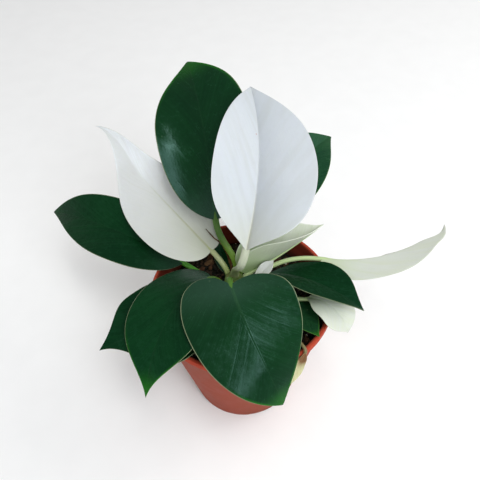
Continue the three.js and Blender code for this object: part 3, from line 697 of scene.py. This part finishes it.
def lathe(profile, sides, x=0.0, y=0.0, wobble=None):  # profile from the axis round to the axis
    angles = 2 * math.pi * np.arange(sides) / sides
    points, rings = [], []
    for r, z in profile:
        if r < 1e-6:  # on the axis one corner serves as the whole ring
            rings.append([len(points)] * sides)
            points.append((x, y, z))
            continue
        rings.append(range(len(points), len(points) + sides))
        for angle in angles:
            out = r + (wobble(angle, z) if wobble else 0)
            points.append((x + out * math.cos(angle), y + out * math.sin(angle), z))
    return np.array(points, float), skin(rings)


def rounded(corners, sizes, steps=4):  # the profile with its corners rounded
    profile = [corners[0]]
    for before, corner, after, size in zip(corners[:-2], corners[1:-1], corners[2:], sizes):
        before, corner, after = np.array(before), np.array(corner), np.array(after)
        near = corner + (before - corner) / np.linalg.norm(before - corner) * size
        far = corner + (after - corner) / np.linalg.norm(after - corner) * size
        for t in np.linspace(0, 1, steps):
            profile.append(tuple((1 - t) ** 2 * near + 2 * t * (1 - t) * corner + t * t * far))
    return profile + [corners[-1]]


def wallRadius(z):
    full = pot["rimRadius"] - pot["lipStep"]
    return pot["baseRadius"] + (full - pot["baseRadius"]) * z / (pot["height"] - pot["lipHeight"])


def potProfile():
    underLip = pot["height"] - pot["lipHeight"]
    foot, wall, centre = pot["footHeight"], pot["wall"], pot["centreRadius"]
    inner = pot["baseRadius"] - pot["footWidth"]
    rim = pot["rimRadius"]
    corners = [
        ((0, 0), 0), ((centre, 0), 0.5), ((centre + foot, foot), 0.5), ((inner - foot, foot), 0.5),
        ((inner, 0), 0.5), ((wallRadius(0), 0), 1.0), ((wallRadius(underLip), underLip), 0.5),
        ((rim, underLip), 0.6), ((rim, pot["height"]), 1.0), ((rim - pot["lipTop"], pot["height"]), 0.7),
        ((wallRadius(underLip) - wall, underLip - 3), 1.0),
        ((wallRadius(foot + wall) - wall, foot + wall), 2.0), ((centre + foot, foot + wall), 0.5),
        ((centre, wall), 0.5), ((0, wall), 0),
    ]
    return rounded([c for c, size in corners], [size for c, size in corners[1:-1]])


def cutAway(piece, cutters):
    for cutter in cutters:
        cut = piece.modifiers.new("cut", "BOOLEAN")
        cut.operation, cut.solver, cut.object = "DIFFERENCE", "MANIFOLD", cutter
    bpy.context.view_layer.update()
    shaped = bpy.data.meshes.new_from_object(piece.evaluated_get(bpy.context.evaluated_depsgraph_get()))
    piece.modifiers.clear()
    piece.data = shaped
    for cutter in cutters:
        bpy.data.objects.remove(cutter)


def blockPiece(name, build, place, sizes):
    form = bmesh.new()
    build(form, matrix=place, **sizes)
    mesh = bpy.data.meshes.new(name)
    form.to_mesh(mesh)
    form.free()
    return placed(name, mesh)


def potFinish():
    material, wire, place = newFinish("terracotta coloured plastic")
    underLip, foot = pot["height"] - pot["lipHeight"], pot["footHeight"]
    x, y, z = place.parts()
    radius = (x * x + y * y) ** 0.5
    level = z * 1000  # millimetres above the floor
    wallAt = (wallRadius(0) + level * (wallRadius(1) - wallRadius(0))) * millimetre
    inside = 1 - radius.rising(wallAt - 0.0012, wallAt - 0.0004)
    inside = inside * level.rising(foot + 0.3, foot + 1.3)
    lip = level.rising(underLip - 0.5, underLip + 0.2) * (1 - inside)
    cloud = place.noise(16.0, 4.0)
    patches = place.noise(60.0, 4.0, 0.6)
    grain = place.noise(1400.0, 2.0)
    turned = wire.joined(level * 2.4).noise(1.0, 2.0)
    bloom = (patches.rising(0.5, 0.75) * 0.25 + (turned - 0.5) * 0.15) * (1 - lip)
    soilLine = inside * (1 - level.rising(soil["level"], soil["level"] + 7)) * patches.rising(0.3, 0.6)
    splash = (1 - level.rising(3.0, 16.0)) * patches.rising(0.52, 0.66) * (1 - inside)
    scuffs = place.noise(120.0, 3.0, 0.7).rising(0.64, 0.72) * (1 - inside)
    body = layered(
        paint(149, 68, 50),
        (cloud.rising(0.35, 0.7) * 0.6, paint(136, 73, 57)),
        (lip, paint(171, 67, 47)),
        (bloom, paint(146, 82, 64)),
        # inside: the inner wall painted darker, painted shade in the pot's hollow
        (inside * 0.75, paint(104, 38, 26)),
        (soilLine * 0.8, paint(52, 34, 26)),
        (splash * 0.3, paint(96, 66, 52)),
        (scuffs * 0.14, paint(180, 120, 100)))
    return closeFinish(material, {
        "Base Color": body,
        "Roughness": 0.55 + (patches - 0.5) * 0.3 + scuffs * 0.12 + inside * 0.12,
        "Specular IOR Level": 0.04,
        "Subsurface Weight": 0.04,
        "Subsurface Radius": (0.004, 0.002, 0.001),
    }, turned * 0.05 + grain * 0.018 + cloud * 0.25 + patches * 0.05)


def makePot():
    points, faces = lathe(potProfile(), pot["sides"])
    piece = meshPiece("pot_shell", points, faces, [potFinish()])
    foot, base = pot["footHeight"] * millimetre, pot["baseRadius"] * millimetre
    ring = (pot["centreRadius"] + pot["baseRadius"] - pot["footWidth"]) / 2 * millimetre
    radius = pot["drainRadius"] * millimetre
    drill = dict(cap_ends=True, segments=32, radius1=radius, radius2=radius, depth=4 * foot)
    notch = Vector((4 * pot["footWidth"], pot["notchWidth"], 2 * pot["notchHeight"])) * millimetre
    cutters = []
    for i in range(pot["drainHoles"]):
        angle = 2 * math.pi * i / pot["drainHoles"]
        spot = Matrix.Translation((ring * math.cos(angle), ring * math.sin(angle), foot))
        cutters.append(blockPiece("drill", bmesh.ops.create_cone, spot, drill))
    for i in range(pot["notches"]):
        angle = math.radians(pot["firstNotch"] + 360 * i / pot["notches"])
        spot = Matrix.Rotation(angle, 4, "Z") @ Matrix.Translation((base, 0, 0))
        spot = spot @ Matrix.Diagonal(notch).to_4x4()
        cutters.append(blockPiece("notch", bmesh.ops.create_cube, spot, dict(size=1)))
    cutAway(piece, cutters)
    piece.data.shade_smooth()
    piece.data.set_sharp_from_angle(angle=math.radians(38))
    standsFor(piece, "pot", "pot")
    print("pot:", len(piece.data.polygons), "faces")


# The soil: a filled cup with a lumpy top, strewn with bark, fibre and a few pale grains
soil = dict(level=112, depth=104, relief=1.5, gap=0.5, rings=70, sides=180, stemGap=2, wallGap=0.8, seed=20)
# size: the span of each side; rest: how high the middle lies above the soil, as a part of the height
barkChips = dict(count=620, size=((2.5, 11), (1.8, 5.5), (0.9, 2.6)), tilt=0.45, rest=0.18, uneven=0.7)
paleGrains = dict(count=60, size=((1, 2.6), (1, 2.4), (0.9, 2)), tilt=1.0, rest=0.3, uneven=0.4)
looseFibres = dict(
    count=110, steps=12, sides=6, length=(7, 24), bend=(-2.2, 2.2), arch=(0.2, 2.6), radius=(0.16, 0.38),
    startEdge=60, endEdge=66,
)


def soilHeight(x, y):
    broad = np.sin(0.11 * x + 0.6) * np.cos(0.09 * y - 0.4)
    lumps = np.sin(0.43 * x - 0.2 * y) * np.sin(0.37 * y + 0.21 * x + 1)
    return soil["level"] + soil["relief"] * (0.6 * broad + 0.5 * lumps)


def crumbHeight(x, y):
    small = np.sin(1.3 * x + 2 * np.sin(0.7 * y)) * np.sin(1.1 * y + 2 * np.sin(0.9 * x))
    fine = np.sin(2.9 * x + 1.7 * y) * np.sin(2.3 * y - 1.9 * x)
    return soilHeight(x, y) + 0.35 * small + 0.2 * fine


def soilFinish():
    material, wire, place = newFinish("moist bark mix")
    cloud = place.noise(90.0, 5.0, 0.65)
    crumbs = place.cells(420.0)
    fibre = place.noise(520.0, 4.0, 0.7)
    body = layered(
        paint(16, 17, 11),
        (cloud.rising(0.35, 0.68), paint(38, 33, 21)),
        (fibre.rising(0.55, 0.72) * 0.55, paint(92, 62, 38)))
    sockets = {"Base Color": body, "Roughness": 0.92 - cloud * 0.2, "Specular IOR Level": 0.25}
    return closeFinish(material, sockets, crumbs * 1.2 + fibre * 0.6 + cloud * 1.2)


def barkFinish():
    material, wire, place = newFinish("bark chips")
    tone, worn = wire.attribute("growth").parts()[:2]
    cloud = place.noise(260.0, 4.0, 0.65)
    fibre = place.noise(1300.0, 3.0)
    stops = [(0.0, paint(19, 17, 12)), (0.4, paint(38, 29, 20)), (0.68, paint(64, 42, 27)),
             (0.88, paint(92, 58, 36)), (1.0, paint(128, 98, 66))]
    body = wire.node("ValToRGB", {"stops": stops}, {"Fac": tone + (cloud - 0.5) * 0.5}, "Color")
    body = layered(body, (worn * fibre.rising(0.5, 0.7) * 0.5, paint(150, 122, 90)))
    sockets = {"Base Color": body, "Roughness": 0.78 + (fibre - 0.5) * 0.3, "Specular IOR Level": 0.3}
    return closeFinish(material, sockets, cloud * 0.7 + fibre * 0.2)


def grainFinish():
    material, wire, place = newFinish("pale mineral grains")
    cloud = place.noise(500.0, 4.0, 0.6)
    body = layered(paint(226, 222, 208), (cloud.rising(0.3, 0.7), paint(178, 168, 148)))
    sockets = {"Base Color": body, "Roughness": 0.85 + (cloud - 0.5) * 0.2}
    return closeFinish(material, sockets, cloud * 0.5)


def lumpShape(draw, size, uneven):  # one closed crumb: a ball of 42 corners pushed out of round
    form = bmesh.new()
    bmesh.ops.create_icosphere(form, subdivisions=2, radius=1)
    corners = np.array([v.co[:] for v in form.verts])
    triangles = [[v.index for v in f.verts] for f in form.faces]
    form.free()
    corners *= 1 + uneven * (np.array([draw.random() for c in corners]) - 0.5)[:, None]
    corners = np.sign(corners) * np.abs(corners) ** 0.75
    return corners * np.array(size) / 2, triangles


def turnedBy(draw, points, tilt):
    yaw, lean, side = draw.uniform(0, 2 * math.pi), draw.uniform(-tilt, tilt), draw.uniform(-tilt, tilt)
    turn = Matrix.Rotation(yaw, 3, "Z") @ Matrix.Rotation(lean, 3, "X") @ Matrix.Rotation(side, 3, "Y")
    return points @ np.array(turn).T


def spotOnSoil(draw, edge):
    while True:
        radius = edge * math.sqrt(draw.random())
        angle = draw.uniform(0, 2 * math.pi)
        x, y = radius * math.cos(angle), radius * math.sin(angle)
        if math.hypot(x - stem["x"], y - stem["y"]) > stem["radius"] + soil["stemGap"]:
            return x, y


def litterPiece(name, bits, finish, sharpAngle=None):  # bits: (points, faces, tone, wear)
    points, faces, growth, offset = [], [], [], 0
    for corners, sheets, tone, wear in bits:
        points.append(corners)
        faces += [tuple(c + offset for c in f) for f in sheets]
        growth.append(np.tile([tone, wear, 0], (len(corners), 1)))
        offset += len(corners)
    values = {"growth": np.vstack(growth)}
    return meshPiece(name, np.vstack(points), faces, [finish], values, sharpAngle=sharpAngle)


def strewn(name, litter, finish, draw):
    bits = []
    for i in range(litter["count"]):
        size = [draw.uniform(*span) for span in litter["size"]]
        edge = wallRadius(soil["level"]) - pot["wall"] - soil["wallGap"] - max(size) / 2
        x, y = spotOnSoil(draw, edge)
        corners, triangles = lumpShape(draw, size, litter["uneven"])
        corners = turnedBy(draw, corners, litter["tilt"])
        corners = corners + [x, y, crumbHeight(x, y) + size[2] * litter["rest"]]
        bits.append((corners, triangles, draw.random() ** 1.4, draw.random()))
    return litterPiece(name, bits, finish, 30)


def makeFibres(draw, finish):
    bits = []
    steps = looseFibres["steps"]
    hump = np.sin(np.linspace(0, math.pi, steps + 1))
    for i in range(looseFibres["count"]):
        x, y = spotOnSoil(draw, looseFibres["startEdge"])
        heading = draw.uniform(0, 2 * math.pi)
        bend, length = draw.uniform(*looseFibres["bend"]), draw.uniform(*looseFibres["length"])
        route = []
        for s in range(steps + 1):
            route.append([x, y, 0])
            x += math.cos(heading) * length / steps
            y += math.sin(heading) * length / steps
            heading += bend / steps + draw.uniform(-0.25, 0.25)
        route = np.array(route)
        if np.hypot(route[:, 0], route[:, 1]).max() > looseFibres["endEdge"]:
            continue
        arch = draw.uniform(*looseFibres["arch"])
        route[:, 2] = crumbHeight(route[:, 0], route[:, 1]) + 0.5 + arch * hump
        heading = unit(np.gradient(route, axis=0))
        radius = draw.uniform(*looseFibres["radius"])
        stations = [(p, h, upAxis, radius, radius) for p, h in zip(route, heading)]
        corners, sheets = tube(stations, looseFibres["sides"])
        bits.append((corners, sheets, draw.uniform(0.45, 1.0), draw.random()))
    return litterPiece("soil_fibres", bits, finish)


def makeSoil():
    draw = random.Random(soil["seed"])
    edge = wallRadius(soil["level"] - 4) - pot["wall"] - soil["gap"]
    floor = soil["level"] - soil["depth"]
    low = wallRadius(floor) - pot["wall"] - soil["gap"]
    rings, sides = soil["rings"], soil["sides"]
    profile = [(edge * (i / rings), 0) for i in range(rings + 1)]
    profile += [(low + (edge - low) * t, floor + (soil["level"] - 5 - floor) * t) for t in (1, 0.5, 0)]
    points, faces = lathe(profile + [(0, floor)], sides)
    top = 1 + rings * sides
    points[:top, 2] = crumbHeight(points[:top, 0], points[:top, 1])
    bed = meshPiece("soil_bed", points, [f[:1] + f[:0:-1] for f in faces], [soilFinish()])
    bark = barkFinish()
    chips = strewn("soil_bark", barkChips, bark, draw)
    grains = strewn("soil_grains", paleGrains, grainFinish(), draw)
    fibres = makeFibres(draw, bark)
    standsFor(bed, "soil", "soil")
    for piece in (chips, grains, fibres):
        standsFor(piece, "soil")
    print("soil:", barkChips["count"], "chips")


# The stem: short, fleshy and ringed with old leaf scars
def stemFinish():
    material, wire, place = newFinish("stem bark")
    height = place.parts()[2]
    cloud = place.noise(90.0, 4.0, 0.6)
    rings = wire.joined(height * 900, cloud * 2).noise(1.0, 3.0)
    cork = place.noise(420.0, 3.0, 0.6)
    body = layered(
        paint(74, 102, 42),
        (cloud.rising(0.35, 0.65), paint(112, 134, 68)),
        (rings.rising(0.52, 0.66) * 0.5, paint(112, 94, 56)),
        (cork.rising(0.56, 0.68) * 0.5, paint(86, 62, 40)))
    sockets = {"Base Color": body, "Roughness": 0.62 + (cork - 0.5) * 0.3, "Specular IOR Level": 0.35}
    return closeFinish(material, sockets, rings * 0.5 + cork * 0.25 + cloud * 0.5)


def makeStem():
    radius, bottom, top, scars = stem["radius"], stem["bottom"], stem["top"], stem["scars"]
    profile = [(0, bottom), (radius * 0.7, bottom)]
    for z in np.linspace(bottom + 1, top - 2.2, stem["rows"]):
        step = ((z - bottom - 3) / ((top - bottom - 8) / scars)) % 1
        notch = stem["scarDepth"] * math.exp(-((step - 0.1) * 6) ** 2)
        notch += stem["lowerScarDepth"] * math.exp(-((step - 0.9) * 9) ** 2)
        slimmer = stem["taper"] * max(0, (z - top) / stem["taperHeight"] + 1)
        profile.append((radius * (1 - slimmer) - notch, float(z)))
    profile += [(radius * 0.78, top - 1.4), (radius * 0.5, top - 0.5), (0, top)]

    def wobble(angle, z):
        return 0.22 * math.sin(3 * angle + z * 0.11) + 0.12 * math.sin(7 * angle - z * 0.4)

    points, faces = lathe(profile, stem["sides"], stem["x"], stem["y"], wobble)
    piece = meshPiece("stem_bark", points, faces, [stemFinish()])
    standsFor(piece, "stem", "stem")
    print("stem made")


# The dried spike, what is left of an old sheath
spike = dict(
    route=[(-7, 15.5, 125), (-8.3, 23, 134), (-11.5, 29, 144), (-15.8, 30.7, 153.9), (-21.1, 31.6, 159.7),
           (-27.7, 38.2, 163.8)],
    rootRadius=1.1, tipRadius=0.3, steps=90, sides=16,
)


def smoothRoute(route, steps):  # a smooth curve through every point
    route = np.array(route, float)
    padded = np.vstack([2 * route[0] - route[1], route, 2 * route[-1] - route[-2]])
    made = []
    for t in np.linspace(0, len(route) - 1, steps + 1):
        i = min(int(t), len(route) - 2)
        f = t - i
        a, b, c, d = padded[i:i + 4]
        made.append(0.5 * (2 * b + (c - a) * f + (2 * a - 5 * b + 4 * c - d) * f ** 2
                           + (3 * b - a - 3 * c + d) * f ** 3))
    return np.array(made)


def spikeFinish():
    material, wire, place = newFinish("dried sheath")
    run, around = wire.attribute("blade").parts()[:2]
    cloud = place.noise(300.0, 4.0, 0.6)
    fibre = wire.joined(around * 30, run * 6).noise(1.0, 3.0, 0.6)
    body = layered(
        paint(74, 42, 24),
        (cloud.rising(0.35, 0.65), paint(122, 78, 42)),
        (run.rising(0.55, 0.9) * 0.6, paint(52, 32, 22)),
        (fibre.rising(0.52, 0.7) * 0.5, paint(168, 120, 70)))
    sockets = {"Base Color": body, "Roughness": 0.72 + (cloud - 0.5) * 0.3, "Specular IOR Level": 0.3}
    return closeFinish(material, sockets, fibre * 0.3 + cloud * 0.4)


def makeSpike():
    route = smoothRoute(spike["route"], spike["steps"])
    heading = unit(np.gradient(route, axis=0))
    places = np.arange(spike["steps"] + 1) / spike["steps"]
    stations = []
    for t, point, ahead in zip(places, route, heading):
        size = between((spike["rootRadius"], spike["tipRadius"]), t)
        size = size * (1 + 0.14 * math.sin(31 * t) + 0.1 * math.sin(77 * t + 1))
        stations.append((point, ahead, np.array([1.0, 0, 0]), size * 1.15, size * 0.85))
    points, faces = tube(stations, spike["sides"])
    marks = tubeMarks(places, spike["sides"])
    piece = meshPiece("spike_sheath", points, faces, [spikeFinish()], {"blade": marks})
    standsFor(piece, "dried", "dried_spike")
    print("spike made")


# Floor, light and camera
studio = dict(
    floorSize=6.0,
    worldLow=0.86, worldHigh=0.5,  # brightness at the horizon and overhead
    lights=[
        dict(name="window", place=(0.66, -1.12, 1.5), wide=0.8, high=1.5, power=21,
             colour=(0.93, 0.97, 1.0)),
        dict(name="overhead", place=(0.27, -0.58, 1.72), wide=0.22, high=0.8, power=5,
             colour=(1.0, 0.99, 0.96)),
        dict(name="fill", place=(1.35, 0.45, 1.3), wide=1.0, high=1.0, power=8,
             colour=(1.0, 0.98, 0.95)),
    ],
    aim=(0.0, 0.03, 0.15),
)
viewpoint = dict(place=(0.0, -0.2749, 0.4988), aim=(0.0, 0.055, 0.130), roll=-1.8, lens=42, sensor=36)


def makeStudio():
    material, wire, place = newFinish("pale floor")
    cloud = place.noise(30.0, 3.0)
    body = layered((0.93, 0.93, 0.93, 1), (cloud.rising(0.2, 0.8), (0.95, 0.95, 0.95, 1)))
    closeFinish(material, {"Base Color": body, "Roughness": 0.9, "Specular IOR Level": 0.1}, cloud * 0.05)
    half = studio["floorSize"] / 2 / millimetre
    corners = [(-half, -half, 0), (half, -half, 0), (half, half, 0), (-half, half, 0)]
    floor = meshPiece("floor", np.array(corners), [(0, 1, 2, 3)], [material])
    for light in studio["lights"]:
        lamp = bpy.data.lights.new(light["name"], "AREA")
        lamp.shape, lamp.size, lamp.size_y = "RECTANGLE", light["wide"], light["high"]
        lamp.energy, lamp.color = light["power"], light["colour"]
        holder = placed(light["name"], lamp)
        holder.location = light["place"]
        toward = Vector(studio["aim"]) - Vector(light["place"])
        holder.rotation_euler = toward.to_track_quat("-Z", "Y").to_euler()
    world = bpy.data.worlds.new("studio")
    bpy.context.scene.world = world
    world.use_nodes = True
    world.node_tree.nodes.clear()
    air = Wire(world.node_tree)
    up = air.node("TexCoord", output="Generated").parts()[2]
    low, high = studio["worldLow"], studio["worldHigh"]
    strength = low + up.rising(0.05, 0.4) * (high - low)
    sky = air.node("Background", {}, {"Color": (1, 1, 1, 1), "Strength": strength})
    air.node("OutputWorld", {}, {"Surface": sky})
    bpy.context.scene.view_settings.view_transform = "Standard"


def makeCamera():
    data = bpy.data.cameras.new("camera")
    data.lens, data.sensor_width = viewpoint["lens"], viewpoint["sensor"]
    data.clip_start, data.clip_end = 0.01, 50
    camera = placed("camera", data)
    place = Vector(viewpoint["place"])
    ahead = (Vector(viewpoint["aim"]) - place).normalized()
    right = ahead.cross(Vector((0, 0, 1))).normalized()
    up = right.cross(ahead)
    roll = math.radians(viewpoint["roll"])
    turnedRight = right * math.cos(roll) + up * math.sin(roll)
    turnedUp = up * math.cos(roll) - right * math.sin(roll)
    axes = Matrix((turnedRight, turnedUp, -ahead)).transposed().to_4x4()
    camera.matrix_world = Matrix.Translation(place) @ axes
    bpy.context.scene.camera = camera


makeCamera()
makeLeaves()
makeStem()
makeSpike()
makePot()
makeSoil()
makeStudio()
